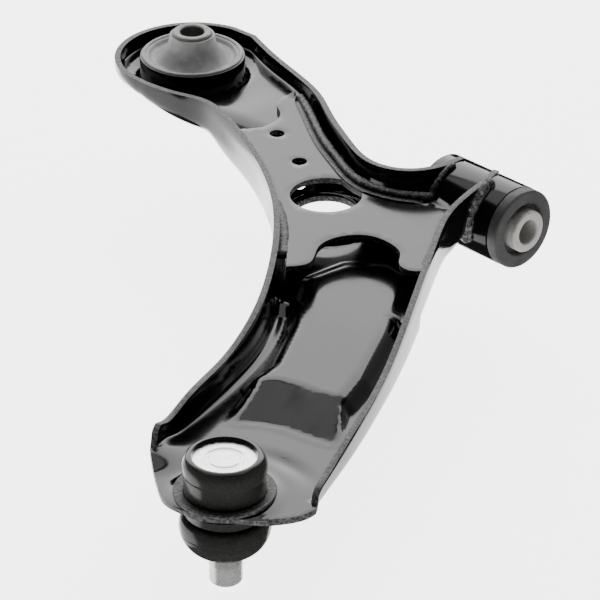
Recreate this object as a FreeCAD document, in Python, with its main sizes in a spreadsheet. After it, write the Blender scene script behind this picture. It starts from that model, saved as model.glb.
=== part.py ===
"""Front suspension control arm, left-hand pattern, in millimetres.

The origin is the centre of the front bush.  +Y runs along the front bush towards its open
mouth, +X runs towards the ball joint and +Z is the side that the reinforcement plate is on.
A pressed steel pan joins the front bush tube, the rear bush cup and the ball joint.
"""
import FreeCAD, Part
import math
import os
import re

import Sketcher

V = FreeCAD.Vector

# ---------------------------------------------------------------------------------------------
# Driving dimensions: (alias, value in millimetres, what it is)
# ---------------------------------------------------------------------------------------------
DIMENSIONS = [
    ("sheet_steel", 3.0, "thickness of the pressed pan"),
    ("plate_steel", 2.8, "thickness of the reinforcement plate"),
    ("rear_bush_y", -203.2, "rear bush axis, on the swing axis"),
    ("ball_x", 249.0, "ball joint axis"),
    ("ball_y", 84.3, "ball joint axis"),
    ("plate_top", 8.0, "upper face of the reinforcement plate"),
    ("cup_floor", 5.2, "upper face of the pan at the rear bush"),
    ("joint_floor", -16.0, "upper face of the pan at the ball joint"),
    ("cup_radius", 40.0, "outer radius of the rim round the rear bush"),
    ("bolt_bore", 12.2, "bore of both bush sleeves, for an M12 bolt"),
    ("tube_outer", 39.5, "front bush tube, outside diameter"),
    ("tube_inner", 33.5, "front bush tube, inside diameter"),
    ("tube_front", 22.0, "front end of the tube"),
    ("tube_back", -26.0, "rear end of the tube"),
    ("front_sleeve_outer", 23.6, "front bush inner sleeve, outside diameter"),
    ("front_sleeve_length", 62.0, "front bush inner sleeve, length"),
    ("front_flange_outer", 39.2, "rubber flange of the front bush"),
    ("front_flange_end", 27.8, "outer face of that flange"),
    ("bush_shell", 1.5, "wall of the front bush's outer sleeve"),
    ("rear_shell_outer", 54.0, "rear bush outer sleeve, outside diameter"),
    ("rear_shell_wall", 2.0, "wall of the rear bush's outer sleeve"),
    ("rear_shell_top", 12.8, "upper rim of that sleeve"),
    ("rear_shell_bottom", -6.0, "lower rim of that sleeve"),
    ("rear_sleeve_outer", 20.5, "rear bush inner sleeve, outside diameter"),
    ("rear_sleeve_top", 26.0, "upper face of the rear inner sleeve"),
    ("rear_sleeve_bottom", -19.0, "lower face of the rear inner sleeve"),
    ("cup_collar_bottom", -3.5, "lower edge of the collar that holds the rear bush"),
    ("housing_outer", 36.8, "ball joint housing, largest diameter"),
    ("housing_body", 35.6, "ball joint housing, diameter where it is pressed in"),
    ("housing_mouth", 27.8, "opening that the housing leaves round its cap"),
    ("housing_throat", 23.2, "opening under the ball"),
    ("collar_outer", 43.0, "drawn collar round the housing"),
    ("collar_top", -10.8, "upper edge of that collar"),
    ("cap_groove", 15.2, "ring pressed into the cap"),
    ("ball_height", -10.6, "centre of the ball"),
    ("ball_diameter", 25.0, "ball of the ball stud"),
    ("seat_opening", 11.2, "opening of the bearing shell over the ball"),
    ("stud_diameter", 15.0, "clamping length of the stud"),
    ("stud_groove", 12.6, "pinch bolt groove of the stud"),
    ("stud_end", -56.7, "tip of the stud"),
    ("boot_outer", 40.6, "largest diameter of the dust boot"),
    ("boot_wall", 1.8, "rubber thickness of the dust boot"),
    ("plate_hole", 34.8, "large hole of the plate"),
    ("pan_hole", 30.0, "hole of the pan below it"),
    ("drain_height", -0.5, "upper face of the boss round that hole"),
    ("locating_hole", 7.6, "the two small locating holes"),
    ("weld_width", 5.0, "width of a weld bead"),
]

doc = FreeCAD.newDocument("control_arm")
sheet = doc.addObject("Spreadsheet::Sheet", "dimensions")
for row, (alias, value, meaning) in enumerate(DIMENSIONS, start=1):
    sheet.set(f"A{row}", meaning)
    sheet.set(f"B{row}", str(value))
    sheet.setAlias(f"B{row}", alias)
doc.recompute()

size = {alias: float(sheet.get(alias)) for alias, value, meaning in DIMENSIONS}


def bind(formula):
    """Turns a formula in sheet names into a formula that an object's property can hold."""
    return re.sub("[a-z][a-z_]+", lambda name: "dimensions." + name.group(), formula)


def number(formula):
    """The value in millimetres of a formula in sheet names, worked out by the sheet itself."""
    sheet.set("C1", "=" + formula)
    sheet.recompute()
    return float(sheet.get("C1"))


UPRIGHT = FreeCAD.Rotation()
ALONG_Y = FreeCAD.Rotation(V(1, 0, 0), -90)
REAR_BUSH = V(0, size["rear_bush_y"], 0)
BALL_JOINT = V(size["ball_x"], size["ball_y"], 0)
FRONT_BUSH = V(0, 0, 0)
subparts = []


# ---------------------------------------------------------------------------------------------
# Turned and moulded pieces: one closed profile of (radius, height) turned round its own axis
# ---------------------------------------------------------------------------------------------
def turned(label, profile, position, rotation=UPRIGHT):
    """A body of revolution.  A profile entry is (radius, height), or (radius, height, bulge)
    where the edge that leaves it is an arc that stands `bulge` off its chord, to the left."""
    body = doc.addObject("PartDesign::Body", label)
    body.Label = label
    sketch = body.newObject("Sketcher::SketchObject", label + "_profile")
    plane = next(item for item in body.Origin.OriginFeatures if item.Role == "XZ_Plane")
    sketch.AttachmentSupport = (plane, [""])
    sketch.MapMode = "FlatFace"
    corners = [V(number(entry[0]), number(entry[1]), 0) for entry in profile]
    edges = profile_edges(profile, corners)
    sketch.addGeometry(edges)
    starts = [start_point(edge, corner) for edge, corner in zip(edges, corners)]
    for index, entry in enumerate(profile):
        previous = index - 1 if index else len(profile) - 1
        joint = (previous, 3 - starts[previous], index, starts[index])
        sketch.addConstraint(Sketcher.Constraint("Coincident", *joint))
        if len(entry) == 3:
            sketch.addConstraint(Sketcher.Constraint("Radius", index, edges[index].Radius))
        pin_corner(sketch, index, starts[index], entry)
    turn = body.newObject("PartDesign::Revolution", label + "_turn")
    turn.Profile = sketch
    turn.ReferenceAxis = (sketch, ["V_Axis"])
    turn.Angle = 360
    body.Placement = FreeCAD.Placement(position, rotation)
    subparts.append(body)
    return body


def profile_edges(profile, corners):
    """The lines and arcs of a closed profile."""
    edges = []
    for index, entry in enumerate(profile):
        start, end = corners[index], corners[(index + 1) % len(corners)]
        if len(entry) == 3:
            chord = end - start
            left = V(-chord.y, chord.x, 0).normalize()
            middle = (start + end) * 0.5 + left * entry[2]
            edges.append(arc_of_circle(start, middle, end))
        else:
            edges.append(Part.LineSegment(start, end))
    return edges


def arc_of_circle(start, middle, end):
    """An arc through three points, in the form that a sketch takes."""
    whole = Part.Arc(start, middle, end).toShape().Curve
    circle = Part.Circle(whole.Center, V(0, 0, 1), whole.Radius)
    first, last = circle.parameter(start), circle.parameter(end)
    inside = circle.parameter(middle)
    runs_forward = (inside - first) % (2 * math.pi) < (last - first) % (2 * math.pi)
    if not runs_forward:
        first, last = last, first
    return Part.ArcOfCircle(circle, first, last)


def start_point(edge, corner):
    """1 if the edge starts at the corner, 2 if it ends there."""
    to_start = edge.StartPoint.distanceToPoint(corner)
    return 1 if to_start < edge.EndPoint.distanceToPoint(corner) else 2


def pin_corner(sketch, index, point, entry):
    """Ties one corner of a profile to the radius and the height that the sheet gives it."""
    radius, height = number(entry[0]), number(entry[1])
    if radius == 0:
        sketch.addConstraint(Sketcher.Constraint("PointOnObject", index, point, -2))
    else:
        across = Sketcher.Constraint("DistanceX", -1, 1, index, point, radius)
        sketch.setExpression(f"Constraints[{sketch.addConstraint(across)}]", bind(entry[0]))
    along = Sketcher.Constraint("DistanceY", -1, 1, index, point, height)
    sketch.setExpression(f"Constraints[{sketch.addConstraint(along)}]", bind(entry[1]))


def ring(label, inner, outer, bottom, top, position, rotation=UPRIGHT):
    """A plain sleeve, with its radii and heights as formulas."""
    corners = [(inner, bottom), (outer, bottom), (outer, top), (inner, top)]
    return turned(label, corners, position, rotation)


def build_front_bush():
    ring("front_bush_tube", "tube_inner / 2", "tube_outer / 2", "tube_back", "tube_front",
         FRONT_BUSH, ALONG_Y)
    ring("front_bush_outer_sleeve", "tube_inner / 2 - bush_shell", "tube_inner / 2",
         "tube_back - 0.5", "tube_front", FRONT_BUSH, ALONG_Y)
    turned("front_bush_rubber", [
        ("front_sleeve_outer / 2 + 0.05", "tube_back - 2"),
        ("tube_inner / 2 - bush_shell - 1", "tube_back - 2"),
        ("tube_inner / 2 - bush_shell", "tube_back - 1"),
        ("tube_inner / 2 - bush_shell", "tube_front"),
        ("front_flange_outer / 2", "tube_front"),
        ("front_flange_outer / 2", "front_flange_end - 1"),
        ("front_flange_outer / 2 - 1.2", "front_flange_end"),
        ("front_sleeve_outer / 2 + 3.4", "front_flange_end"),
        ("front_sleeve_outer / 2 + 1.6", "front_flange_end - 1.6"),
        ("front_sleeve_outer / 2 + 0.05", "front_flange_end - 1.6"),
    ], FRONT_BUSH, ALONG_Y)
    turned("front_bush_inner_sleeve", chamfered_sleeve(
        "front_sleeve_outer / 2", "-front_sleeve_length / 2", "front_sleeve_length / 2",
    ), FRONT_BUSH, ALONG_Y)


def chamfered_sleeve(outer, bottom, top):
    """The profile of a bolt sleeve, with its mouths and outer edges broken."""
    return [
        ("bolt_bore / 2", bottom + " + 0.5"), ("bolt_bore / 2 + 0.5", bottom),
        (outer + " - 0.5", bottom), (outer, bottom + " + 0.5"),
        (outer, top + " - 0.5"), (outer + " - 0.5", top),
        ("bolt_bore / 2 + 0.5", top), ("bolt_bore / 2", top + " - 0.5"),
    ]


def build_rear_bush():
    ring("rear_bush_outer_sleeve", "rear_shell_outer / 2 - rear_shell_wall",
         "rear_shell_outer / 2", "rear_shell_bottom", "rear_shell_top", REAR_BUSH)
    shell = "rear_shell_outer / 2 - rear_shell_wall"
    sleeve = "rear_sleeve_outer / 2 + 0.05"
    turned("rear_bush_rubber", [
        (sleeve, "rear_sleeve_bottom + 4"),
        ("rear_sleeve_outer / 2 + 2", "rear_sleeve_bottom + 4"),
        ("rear_sleeve_outer / 2 + 7", "rear_shell_bottom + 1"),
        (shell + " - 3", "rear_shell_bottom + 1.5"),
        (shell, "rear_shell_bottom + 1.5"),
        (shell, "rear_shell_top - 1.2"),
        (shell + " - 1.2", "rear_shell_top + 0.6"),
        (shell + " - 3.4", "rear_shell_top - 1.6"),
        ("rear_sleeve_outer / 2 + 8", "rear_shell_top - 1"),
        ("rear_sleeve_outer / 2 + 3", "rear_sleeve_top - 8.5"),
        ("rear_sleeve_outer / 2 + 1.2", "rear_sleeve_top - 4"),
        (sleeve, "rear_sleeve_top - 4"),
    ], REAR_BUSH)
    turned("rear_bush_inner_sleeve", chamfered_sleeve(
        "rear_sleeve_outer / 2", "rear_sleeve_bottom", "rear_sleeve_top",
    ), REAR_BUSH)


def build_ball_joint():
    """The housing, its cap, the bearing shell, the ball stud and the dust boot."""
    bore = "ball_diameter / 2 + 2.4"
    turned("ball_joint_housing", [
        ("housing_mouth / 2", "joint_floor - 8"), ("housing_body / 2 - 2.2", "joint_floor - 8"),
        ("housing_body / 2 - 2.2", "joint_floor - 5.2"), ("housing_body / 2", "joint_floor - 4.6"),
        ("housing_body / 2", "collar_top + 10.5"), ("housing_outer / 2", "collar_top + 11.3"),
        ("housing_outer / 2", "collar_top + 14.2", -0.7), ("housing_mouth / 2 + 2.3", "collar_top + 18.2"),
        ("housing_mouth / 2", "collar_top + 17.4"), ("housing_mouth / 2", "collar_top + 16.2"),
        (bore, "collar_top + 16.2"), (bore, "ball_height - 4"),
        ("housing_throat / 2", "ball_height - 8.2"),
    ], BALL_JOINT)
    turned("ball_joint_cap", [
        ("0", "collar_top + 13.6"), (bore + " - 0.1", "collar_top + 13.6"),
        (bore + " - 0.1", "collar_top + 16.2"), ("cap_groove / 2 + 1.1", "collar_top + 16.2"),
        ("cap_groove / 2", "collar_top + 15.6"), ("cap_groove / 2 - 0.7", "collar_top + 16.2"),
        ("0", "collar_top + 16.2"),
    ], BALL_JOINT)
    turned("ball_seat", [
        ("housing_throat / 2 - 0.7", "ball_height - 6.22", -3.93),
        ("seat_opening / 2", "ball_height + 11.23"), ("seat_opening / 2", "collar_top + 13.6"),
        (bore, "collar_top + 13.6"), (bore, "ball_height - 4"),
        ("housing_throat / 2 + 0.8", "ball_height - 7"),
    ], BALL_JOINT)
    turned("ball_stud", [
        ("0", "stud_end"), ("stud_diameter / 2 - 1.6", "stud_end"),
        ("stud_diameter / 2", "stud_end + 1.6"), ("stud_diameter / 2", "stud_end + 10.2", -0.5),
        ("stud_groove / 2", "stud_end + 14.2"), ("stud_groove / 2", "ball_height - 10.8", -8.11),
        ("2.4", "ball_height + 12.27"), ("0", "ball_height + 12.27"),
    ], BALL_JOINT)


def build_dust_boot():
    """A bowl of rubber from the housing's groove down to the stud, with its two rings."""
    seat = "housing_body / 2 - 2.2"
    turned("dust_boot", [
        (seat + " + 0.4", "joint_floor - 8.6"), (seat + " + 0.4", "joint_floor - 5.6"),
        ("boot_outer / 2 - 1.4", "joint_floor - 5.6", 0.6),
        ("boot_outer / 2", "joint_floor - 12"),
        ("boot_outer / 2 - 0.6", "joint_floor - 15.6", 1.9),
        ("stud_groove / 2 + 3", "stud_end + 15.2"),
        ("stud_groove / 2 + 1.15", "stud_end + 15.2"),
        ("stud_groove / 2 + 1.15", "stud_end + 18.6"),
        ("boot_outer / 2 - 2.8", "joint_floor - 14.6"),
        ("boot_outer / 2 - boot_wall", "joint_floor - 11.6"),
        ("boot_outer / 2 - boot_wall - 1", "joint_floor - 8.6"),
    ], BALL_JOINT)
    ring("boot_clamp_ring", seat, seat + " + 0.4", "joint_floor - 7.8", "joint_floor - 5.8",
         BALL_JOINT)
    ring("boot_lip_ring", "stud_groove / 2 + 0.05", "stud_groove / 2 + 1.1",
         "stud_end + 15.4", "stud_end + 18.2", BALL_JOINT)


# ---------------------------------------------------------------------------------------------
# The pressed pan and the plate: outlines in plan, and side profiles along the arm
# ---------------------------------------------------------------------------------------------
# The pan deepens from the rear bush to the ball joint along this direction in plan.
RUN = V(0.88, 0.475, 0).normalize()
ACROSS = V(-RUN.y, RUN.x, 0)

# Underside of the pan and top of its rim, as (distance from the rear bush along RUN, height).
RUN_START, RUN_END = -60, 400
UNDERSIDE = [(RUN_START, 2.2), (38, 2.2), (60, -8.5), (120, -9), (165, -12), (215, -17),
             (255, -19), (RUN_END, -19)]
RIM = [(RUN_START, 12), (0, 12.3), (45, 15.5), (75, 17.5), (100, 18.2), (135, 17), (175, 14),
       (215, 9), (250, 4), (285, 0), (320, -3), (350, -8), (RUN_END, -12)]

# Heights that lie well under and well over everything that is pressed from sheet.
BELOW, ABOVE = -30, 60

# The two ears are the part of the pan within this box in plan, (x, y) of two corners.
EARS = ((-30, -35), (30, 15))
EAR_TOP = 20.2
EAR_GAP = [(-30, -16.4), (20, -17), (20, 2.5), (-30, 2.5)]

# Rim of the pan in plan, outside face.
REAR_SIDE = [(-39.6, -197.6), (-31.5, -176), (-22, -145), (-12, -122), (3, -98), (18, -70),
             (24.8, -53), (25.5, -40), (20, -28), (11.5, -21.8), (4, -20), (-5, -19.4)]
FRONT_SIDE = [(-7.5, 4.2), (2, 7), (21, 11), (37, 14.8), (50, 21.5), (74, 37), (100, 53.5),
              (147, 81), (192, 102.5), (226, 117.5)]
BALL_END = [(230, 119.5), (246, 109.8), (262, 100), (271, 87), (270.5, 70), (262, 54.5),
            (251, 39), (244, 34.6)]
LIP_INSIDE = (236, 110)
LIP = [(229, 140), (229, 105), (232, 60), (233, 47.5), (247, 33.5), (300, 20), (300, 140)]
LEFT_SIDE = [(244, 34.6), (222, 28), (188, 17), (159, 5.5), (126, -16.5), (92, -48.5), (63, -90),
             (48, -121), (39, -145), (35.5, -160), (38, -177), (40, -197)]


def curve(points):
    """A smooth edge through a few points in plan."""
    spline = Part.BSplineCurve()
    spline.interpolate([V(x, y, 0) for x, y in points])
    return spline.toShape()


def line(start, end):
    return Part.LineSegment(V(*start, 0), V(*end, 0)).toShape()


def straight_edges(points):
    """The straight edges between a few points in plan."""
    return [line(start, end) for start, end in zip(points, points[1:])]


def prism(wire, bottom=BELOW, top=ABOVE):
    """A closed outline in plan, raised from one height to another."""
    wire = wire.copy()
    wire.translate(V(0, 0, bottom))
    return Part.Face(wire).extrude(V(0, 0, top - bottom))


def pan_outline():
    """The outside of the pan in plan, from the left of the rear bush and round its far side."""
    cup_far = V(REAR_BUSH.x, REAR_BUSH.y - size["cup_radius"], 0)
    cup = Part.Arc(V(*LEFT_SIDE[-1], 0), cup_far, V(*REAR_SIDE[0], 0)).toShape()
    return Part.Wire([
        cup, curve(REAR_SIDE), line(REAR_SIDE[-1], FRONT_SIDE[0]), curve(FRONT_SIDE),
        line(FRONT_SIDE[-1], BALL_END[0]), curve(BALL_END), curve(LEFT_SIDE),
    ])


def pan_inside():
    """The inside of the rim in plan.  Past the last point of the far side it is left open."""
    thickness = size["sheet_steel"]
    rear = moved_inwards(REAR_SIDE, thickness)
    front = moved_inwards(FRONT_SIDE, thickness)
    left = moved_inwards(LEFT_SIDE, thickness)
    cup_far = V(REAR_BUSH.x, REAR_BUSH.y - size["cup_radius"] + thickness, 0)
    cup = Part.Arc(V(*left[-1], 0), cup_far, V(*rear[0], 0)).toShape()
    return Part.Wire([
        cup, curve(rear), line(rear[-1], front[0]), curve(front),
        line(front[-1], LIP_INSIDE), line(LIP_INSIDE, left[0]), curve(left),
    ])


def moved_inwards(points, distance):
    """The points of a smooth run in plan, each moved square to the run, to its right."""
    spline = Part.BSplineCurve()
    spline.interpolate([V(x, y, 0) for x, y in points])
    moved = []
    for x, y in points:
        along = spline.tangent(spline.parameter(V(x, y, 0)))[0].normalize()
        moved.append((x + along.y * distance, y - along.x * distance))
    return moved


def profile_slab(lower, upper):
    """What lies between two side profiles along RUN, wide enough for the whole pan."""
    reach = 250
    start = REAR_BUSH - ACROSS * reach
    points = [start + RUN * along + V(0, 0, height) for along, height in lower]
    points += [start + RUN * along + V(0, 0, height) for along, height in reversed(upper)]
    face = Part.Face(Part.makePolygon(points + points[:1]))
    return face.extrude(ACROSS * (2 * reach))


def raised(profile, lift):
    return [(along, height + lift) for along, height in profile]


def below(height):
    """Everything under one height, as a slab's upper profile."""
    return [(RUN_START, height), (RUN_END, height)]


def pan_blank():
    """The tray: outside of the pan less its inside, with the ears over the bush tube."""
    thickness = size["sheet_steel"]
    outline = prism(pan_outline())
    (left, back), (right, front) = EARS
    ears = outline.common(Part.makeBox(right - left, front - back, ABOVE - BELOW, V(left, back, BELOW)))
    ears = ears.common(profile_slab(UNDERSIDE, below(EAR_TOP)))
    body = outline.common(profile_slab(UNDERSIDE, RIM)).fuse(ears)
    ball_end = prism(Part.Wire(straight_edges(LIP + LIP[:1])))
    ear_gap = prism(Part.Wire(straight_edges(EAR_GAP + EAR_GAP[:1])))
    hollow = prism(pan_inside()).fuse(ball_end).fuse(ear_gap)
    return body.cut(hollow.common(profile_slab(raised(UNDERSIDE, thickness), below(ABOVE))))


def cylinder(radius, centre, bottom, top):
    return Part.makeCylinder(radius, top - bottom, V(centre.x, centre.y, bottom))


def drawn_collar(body, centre, inner, outer, bottom, top):
    """Adds the wall of a drawn collar and opens the sheet inside it."""
    wall = cylinder(outer, centre, bottom, top)
    return body.fuse(wall).cut(cylinder(inner, centre, BELOW, ABOVE))


def build_pan():
    """The pressing with its raised panel, its two collars, its holes and room for the tube."""
    thickness = size["sheet_steel"]
    body = pan_blank()
    body = body.fuse(raised_panel(0)).cut(raised_panel(thickness))
    boss = V(*BIG_HOLE, 0)
    boss_radius = size["pan_hole"] / 2 + BOSS_WIDTH
    body = body.fuse(cylinder(boss_radius, boss, BOSS_FOOT, size["drain_height"]))
    hollow = cylinder(boss_radius - thickness, boss, BELOW, size["drain_height"] - thickness)
    body = body.cut(hollow)
    cup_inner = size["rear_shell_outer"] / 2
    body = drawn_collar(body, REAR_BUSH, cup_inner, cup_inner + thickness,
                        size["cup_collar_bottom"], size["cup_floor"])
    body = drawn_collar(body, BALL_JOINT, size["housing_body"] / 2, size["collar_outer"] / 2,
                        size["joint_floor"] - thickness, size["collar_top"])
    return pierced(body, size["pan_hole"] / 2).cut(tube_room())


def tube_room():
    """What the front bush tube takes up, with some length to spare at both ends."""
    spare = 15
    length = size["tube_front"] - size["tube_back"] + 2 * spare
    start = V(0, size["tube_back"] - spare, 0)
    return Part.makeCylinder(size["tube_outer"] / 2, length, start, V(0, 1, 0))


# Centres in plan of the holes that go through both the plate and the pan.
BIG_HOLE = (52.9, -52.5)
SMALL_HOLES = [(24.7, -115.4), (37.7, -86.3)]

# The flat boss that lifts the pan's large hole towards the plate.
BOSS_WIDTH = 7
BOSS_FOOT = -8


def pierced(body, large_radius):
    """Cuts the large hole and the two locating holes."""
    body = body.cut(cylinder(large_radius, V(*BIG_HOLE, 0), BELOW, ABOVE))
    for centre in SMALL_HOLES:
        body = body.cut(cylinder(size["locating_hole"] / 2, V(*centre, 0), BELOW, ABOVE))
    return body


# The raised panel between the two valleys, in plan, and the height of its top along RUN.
PANEL_NEAR = [(66, -34), (100, -12), (133, 11), (165, 33), (181, 43)]
PANEL_END = (188, 57)
PANEL_FAR = [(168, 72), (146, 61), (112, 41), (85, 22), (44, -14)]
PANEL_TOP = [(60, -5.5), (200, -5.5), (255, -7.2), (282, -16), (RUN_END, -16.5)]
PANEL_FLOOR = [(60, -19), (165, -12), (215, -17), (255, -19), (RUN_END, -19)]


def raised_panel(inset):
    """The solid between the floor and the panel's top, or with an inset what is hollow in it."""
    near = moved_inwards(PANEL_NEAR, -inset)
    far = moved_inwards(PANEL_FAR, -inset)
    end = (PANEL_END[0] - inset, PANEL_END[1])
    wire = Part.Wire([curve(near), line(near[-1], end), line(end, far[0]), curve(far),
                      line(far[-1], near[0])])
    return prism(wire).common(profile_slab(raised(PANEL_FLOOR, -inset), raised(PANEL_TOP, -inset)))


# Outline of the plate in plan, clockwise from the corner nearest the rear bush.
PLATE_REAR = [(-12.5, -140), (2, -117), (17, -93), (29, -68), (35.5, -50), (35, -36), (27, -18),
              (19, -10)]
PLATE_FRONT = [(19, 2), (30, 5), (46, 13), (63, 24.5), (74, 32)]
PLATE_MOUTH = [(74, 32), (77.5, 27), (77, 21), (69, 13), (65, 3), (67, -9), (77, -18), (91, -18),
               (107, -10), (116, -15)]
PLATE_LEFT = [(116, -15), (96, -35), (76, -61), (61, -86), (46, -115), (37, -133)]
PLATE_TONGUE = [(37, -133), (31, -130), (25, -126), (18, -125.5), (11.5, -127.5), (7, -131.5), (3, -138),
                (-3.5, -141.8), (-9, -142.5)]
PLATE_TURN_UP = 5.5


def build_plate():
    """A flat plate that closes the middle of the pan, turned up along its rear edge."""
    top = size["plate_top"]
    bottom = top - size["plate_steel"]
    outline = Part.Wire(
        [curve(PLATE_REAR), line(PLATE_REAR[-1], PLATE_FRONT[0]), curve(PLATE_FRONT)]
        + straight_edges(PLATE_MOUTH)
        + [curve(PLATE_LEFT), curve(PLATE_TONGUE), line(PLATE_TONGUE[-1], PLATE_REAR[0])])
    plate = pierced(prism(outline, bottom, top), size["plate_hole"] / 2)
    inner = moved_inwards(PLATE_REAR, size["plate_steel"])
    strip = Part.Wire([curve(PLATE_REAR), line(PLATE_REAR[-1], inner[-1]), curve(inner),
                       line(inner[0], PLATE_REAR[0])])
    return plate.fuse(prism(strip, bottom, top + PLATE_TURN_UP))


# ---------------------------------------------------------------------------------------------
# Weld beads
# ---------------------------------------------------------------------------------------------
WELD_LEFT = [(74, -66, 7.4), (86, -49, 7.2), (98, -35.5, 7), (109, -24.5, 6.6)]
WELD_REAR = [(-11.5, -137, 8.5), (1, -116, 9.5), (15.5, -92, 10.5), (26, -69, 11), (32.4, -50, 11),
             (32, -37, 11), (24.5, -21, 11), (19.5, -14, 11)]
WELD_FRONT = [(56, 20.6, 7), (64, 25.3, 6.8), (70, 29, 6.5)]


# Where an ear meets the tube: the welded stretch of the tube's round, in degrees.
EAR_WELD_START, EAR_WELD_END = -18, 84


def bead(points, width):
    """A round bead of weld metal along a smooth run."""
    path = Part.BSplineCurve()
    path.interpolate([V(*point) for point in points])
    return swept_bead(path, width)


def ear_weld(y, width):
    """Weld metal along the arc where an ear meets the tube, on the ball joint's side."""
    radius = size["tube_outer"] / 2 + 0.6
    middle = (EAR_WELD_START + EAR_WELD_END) / 2
    turns = [math.radians(turn) for turn in (EAR_WELD_START, middle, EAR_WELD_END)]
    arc = Part.Arc(*[V(radius * math.cos(turn), y, radius * math.sin(turn)) for turn in turns])
    return swept_bead(arc, width)


def swept_bead(path, width):
    """A circle swept along a path, with full round ends."""
    start, end = path.value(path.FirstParameter), path.value(path.LastParameter)
    circle = Part.Circle(start, path.tangent(path.FirstParameter)[0], width / 2)
    body = Part.Wire(path.toShape()).makePipeShell([Part.Wire(circle.toShape())], True, True)
    for centre in (start, end):
        body = body.fuse(Part.makeSphere(width / 2, centre))
    return body


def pressed(label, shape):
    """Keeps a shape that was worked out from the sheet's values as a sub-part."""
    item = doc.addObject("Part::Feature", label)
    item.Label = label
    item.Shape = shape
    item.Placement = FreeCAD.Placement()
    subparts.append(item)
    return shape


def build_arm():
    """The pan, the plate and the beads that hold them and the bush tube together."""
    pan = pressed("arm_pan", build_pan())
    plate = pressed("reinforcement_plate", build_plate())
    width = size["weld_width"]
    welds = [
        ("plate_weld_left", bead(WELD_LEFT, width)),
        ("plate_weld_rear", bead(WELD_REAR, width)),
        ("plate_weld_front", bead(WELD_FRONT, width * 0.8)),
        ("tube_weld_rear", ear_weld(-14.6, width)),
        ("tube_weld_front", ear_weld(9.5, width)),
    ]
    in_place = [pan, plate, tube_room()]
    for label, metal in welds:
        for other in in_place:
            metal = metal.cut(other)
        largest = max(metal.Solids, key=lambda solid: solid.Volume)
        in_place.append(pressed(label, largest))


# ---------------------------------------------------------------------------------------------
# Build, check and write
# ---------------------------------------------------------------------------------------------
def check_document():
    """Stops when an object of the document failed or a sub-part is not a sound solid."""
    for item in doc.Objects:
        if "Invalid" in item.State or "Error" in item.State:
            raise RuntimeError(f"{item.Label} failed: {item.State}")
    for item in subparts:
        if item.Shape.isNull() or not item.Shape.isValid() or item.Shape.Volume <= 0:
            raise RuntimeError(f"{item.Label} has no sound shape")


def write_parts():
    os.makedirs("parts", exist_ok=True)
    for item in subparts:
        item.Shape.exportStep(os.path.join("parts", item.Label + ".step"))
        print(f"{item.Label}: {len(item.Shape.Solids)} solid(s), {item.Shape.Volume:.0f} mm3")


build_arm()
build_front_bush()
build_rear_bush()
build_ball_joint()
build_dust_boot()
sheet.clear("C1")
doc.recompute()
check_document()
write_parts()
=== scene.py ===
"""Looks of the suspension control arm.

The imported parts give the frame.  The visible ones are rebuilt here as finer meshes with bend
radii, rounded edges, weld ripples and sheared rims, and every surface gets a node material.
Lengths are written in millimetres, in the frame of the parts, and turned to metres by `mesh`.
"""

import math

import bmesh
import bpy
import numpy as np
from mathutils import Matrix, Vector, noise
from mathutils.geometry import delaunay_2d_cdt


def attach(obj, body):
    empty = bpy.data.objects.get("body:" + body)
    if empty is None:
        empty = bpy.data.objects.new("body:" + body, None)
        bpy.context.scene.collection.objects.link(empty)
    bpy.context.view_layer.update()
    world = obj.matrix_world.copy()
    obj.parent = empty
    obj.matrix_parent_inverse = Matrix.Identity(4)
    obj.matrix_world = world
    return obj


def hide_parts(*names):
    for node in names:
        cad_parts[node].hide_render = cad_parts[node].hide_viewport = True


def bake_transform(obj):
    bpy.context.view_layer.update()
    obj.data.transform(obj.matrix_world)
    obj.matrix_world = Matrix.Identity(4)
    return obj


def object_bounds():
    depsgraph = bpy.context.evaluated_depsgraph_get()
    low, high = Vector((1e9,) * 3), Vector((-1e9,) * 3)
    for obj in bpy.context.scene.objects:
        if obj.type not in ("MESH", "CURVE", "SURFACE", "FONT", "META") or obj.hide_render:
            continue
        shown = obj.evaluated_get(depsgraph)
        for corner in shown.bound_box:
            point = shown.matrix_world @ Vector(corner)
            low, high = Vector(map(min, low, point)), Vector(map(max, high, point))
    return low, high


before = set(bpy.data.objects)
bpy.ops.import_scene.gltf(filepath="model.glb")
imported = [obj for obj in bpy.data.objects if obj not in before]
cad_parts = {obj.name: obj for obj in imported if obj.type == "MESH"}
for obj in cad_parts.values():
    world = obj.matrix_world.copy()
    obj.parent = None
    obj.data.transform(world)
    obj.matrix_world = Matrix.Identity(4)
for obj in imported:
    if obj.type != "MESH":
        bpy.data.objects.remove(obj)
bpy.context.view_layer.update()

MM = 0.001
SHEET = 3.0
PLATE_SHEET = 2.8
FRONT_BUSH = (0, 0)
REAR_BUSH = (0.0, -203.2)
BALL_JOINT = (249.0, 84.3)
# The way in plan, from the rear bush, along which the pan deepens.
RUN = (0.88, 0.475)
# Distance between the rings of a wave texture at scale 1.
WAVE_PERIOD = 0.31
# Vertices closer than the first are joined, and edges shorter than the second are dissolved.
JOIN_GAP = 0.004
LEAST_EDGE = 0.002
# The most of an edge that the rounding of one corner takes up.
ROUNDING_SHARE = 0.49


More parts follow.
